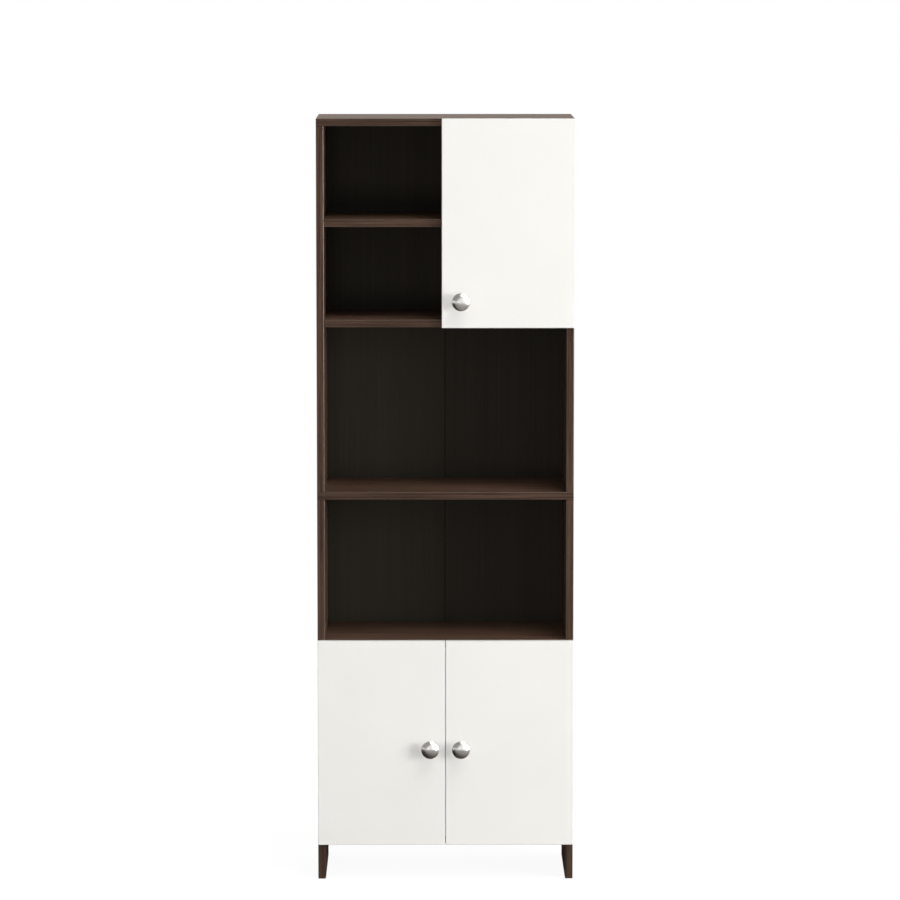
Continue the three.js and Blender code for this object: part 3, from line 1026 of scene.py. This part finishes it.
def dress_doors(nickel):
    """The doors with their knobs, bumpers and hinge screws."""
    white = off_white_foil("off_white_foil", lightness=1.0)
    # The greyer edge band: partly its own tone, partly painted shade along the doors' outline
    band_and_shade = off_white_foil("off_white_band_and_shade", lightness=DOOR_BAND_AND_SHADE_SHARE)
    steel = metal("polished_steel", STEEL_COLOUR, roughness=0.25, wear=0.05)
    soft = plastic("clear_bumper", BUMPER_SHADES, roughness=0.35)
    heads = [screw_head(size) for size in (CUP_SCREW, PLATE_SCREW, ARM_SCREW)]
    for door in DOORS:
        door_slab(door, white, band_and_shade)
        knob(door, steel)
        bumpers(door, soft)
        for end in HINGE_ENDS:
            hinge_screws(door, end, heads, nickel)
    for head in heads:
        head.free()


def dress_backs(nickel):
    """The back sheets and their nails."""
    front = printed_and_shaded_back()
    rear = raw_hardboard()
    for name, crossing in CROSSING_BOARDS.items():
        back_sheet(name, front, rear)
        nails(name, crossing, nickel)


def dress_fittings(nickel):
    """Finishes for the hinges, shelf pins, knob screws and dowels."""
    beech = raw_beech()
    for name in frame["nodes"]:
        if "_hinge_" in name or "_pin_" in name or name.endswith("_knob_screw"):
            paint(name, nickel)
        elif name.startswith("dowel_"):
            paint(name, beech)


# The studio


def bare_material(name):
    """A new material and its node tree, with no nodes in it."""
    made = bpy.data.materials.new(name)
    made.use_nodes = True
    made.node_tree.nodes.clear()
    return made, made.node_tree


def plane(name, corners, finish):
    """A flat face that belongs to the studio."""
    form = bmesh.new()
    form.faces.new([form.verts.new(corner) for corner in corners])
    made = new_object(name, form)
    made.data.materials.append(finish)
    return made


def seen(tree):
    """One for camera, glossy and transmission rays, and zero for the rest."""
    path = add(tree, "LightPath")
    shown = maths(tree, "MAXIMUM", path.outputs["Is Camera Ray"], path.outputs["Is Glossy Ray"])
    return maths(tree, "MAXIMUM", shown, path.outputs["Is Transmission Ray"])


def grey(value):
    """A grey as a colour with its alpha."""
    return (value, value, value, 1.0)


def floor():
    """A pale floor, white to the camera apart from the object's shadow."""
    made, tree = bare_material("white_floor")
    # The glow and the thin layer, where only the world lights it, add up to white
    glow = add(tree, "Emission", {"Color": grey(1.0), "Strength": 1.0 - FLOOR_TINT * AMBIENT})
    thin = add(tree, "BsdfDiffuse", {"Color": grey(FLOOR_TINT)})
    full = add(tree, "BsdfDiffuse", {"Color": grey(FLOOR_BOUNCE)})
    both = add(tree, "AddShader", {0: glow.outputs[0], 1: thin.outputs[0]})
    mixed = add(tree, "MixShader", {0: seen(tree), 1: full.outputs[0], 2: both.outputs[0]})
    add(tree, "OutputMaterial", {"Surface": mixed.outputs[0]})
    corners = [(x * FLOOR_HALF, y * FLOOR_HALF, -FLOOR_DROP) for x, y in SQUARE_CORNERS]
    plane("floor", corners, made)


def world():
    """White to the camera and in reflections, and a plain soft light on everything else."""
    made = bpy.data.worlds.new("studio")
    bpy.context.scene.world = made
    made.use_nodes = True
    tree = made.node_tree
    tree.nodes.clear()
    white = add(tree, "Background", {"Color": grey(1.0), "Strength": 1.0})
    soft = add(tree, "Background", {"Color": grey(1.0), "Strength": AMBIENT})
    mixed = add(tree, "MixShader", {0: seen(tree), 1: soft.outputs[0], 2: white.outputs[0]})
    add(tree, "OutputWorld", {"Surface": mixed.outputs[0]})


def card(name, corners, shades, along):
    """A card that only reflections see, with a ramp of shades along a vector."""
    made, tree = bare_material(name)
    place = add(tree, "TexCoord").outputs["Object"]
    share = add(tree, "VectorMath", {0: place, 1: along}, operation="DOT_PRODUCT")
    colour = ramp(tree, share.outputs["Value"], shades)
    glow = add(tree, "Emission", {"Color": colour, "Strength": CARD_GLOW})
    add(tree, "OutputMaterial", {"Surface": glow.outputs[0]})
    piece = plane(name, corners, made)
    piece.visible_camera = False
    piece.visible_diffuse = False
    piece.visible_shadow = False
    piece.visible_transmission = False


def lamp(name, place, aim, size, power, reflected=True):
    """A rectangular lamp that looks at a point."""
    data = bpy.data.lights.new(name, "AREA")
    data.shape = "RECTANGLE"
    data.size, data.size_y = size
    data.energy = power
    made = bpy.data.objects.new(name, data)
    bpy.context.scene.collection.objects.link(made)
    made.location = place
    look_at(made, Vector(aim))
    made.visible_glossy = reflected


def look_at(piece, aim):
    """Turns a lamp or camera from its place towards a point."""
    piece.rotation_euler = (aim - piece.location).to_track_quat("-Z", "Y").to_euler()


def camera():
    """The camera, above the middle of the object and looking a little down."""
    data = bpy.data.cameras.new("camera")
    data.lens = LENS
    data.sensor_width = SENSOR_WIDTH
    made = bpy.data.objects.new("camera", data)
    bpy.context.scene.collection.objects.link(made)
    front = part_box("middle_board")[0].y
    made.location = (CAMERA_X, front - CAMERA_DISTANCE, CAMERA_HEIGHT)
    look_at(made, Vector((AIM_X, front, AIM_HEIGHT)))
    bpy.context.scene.camera = made


camera()
nickel_plate = metal("nickel_plate", NICKEL_COLOUR, roughness=0.3, wear=0.06)
dress_boards()
dress_doors(nickel_plate)
dress_backs(nickel_plate)
dress_fittings(nickel_plate)
floor()
for settings in CARDS:
    card(**settings)
for settings in LAMPS:
    lamp(**settings)
world()
bpy.context.scene.view_settings.view_transform = "Standard"
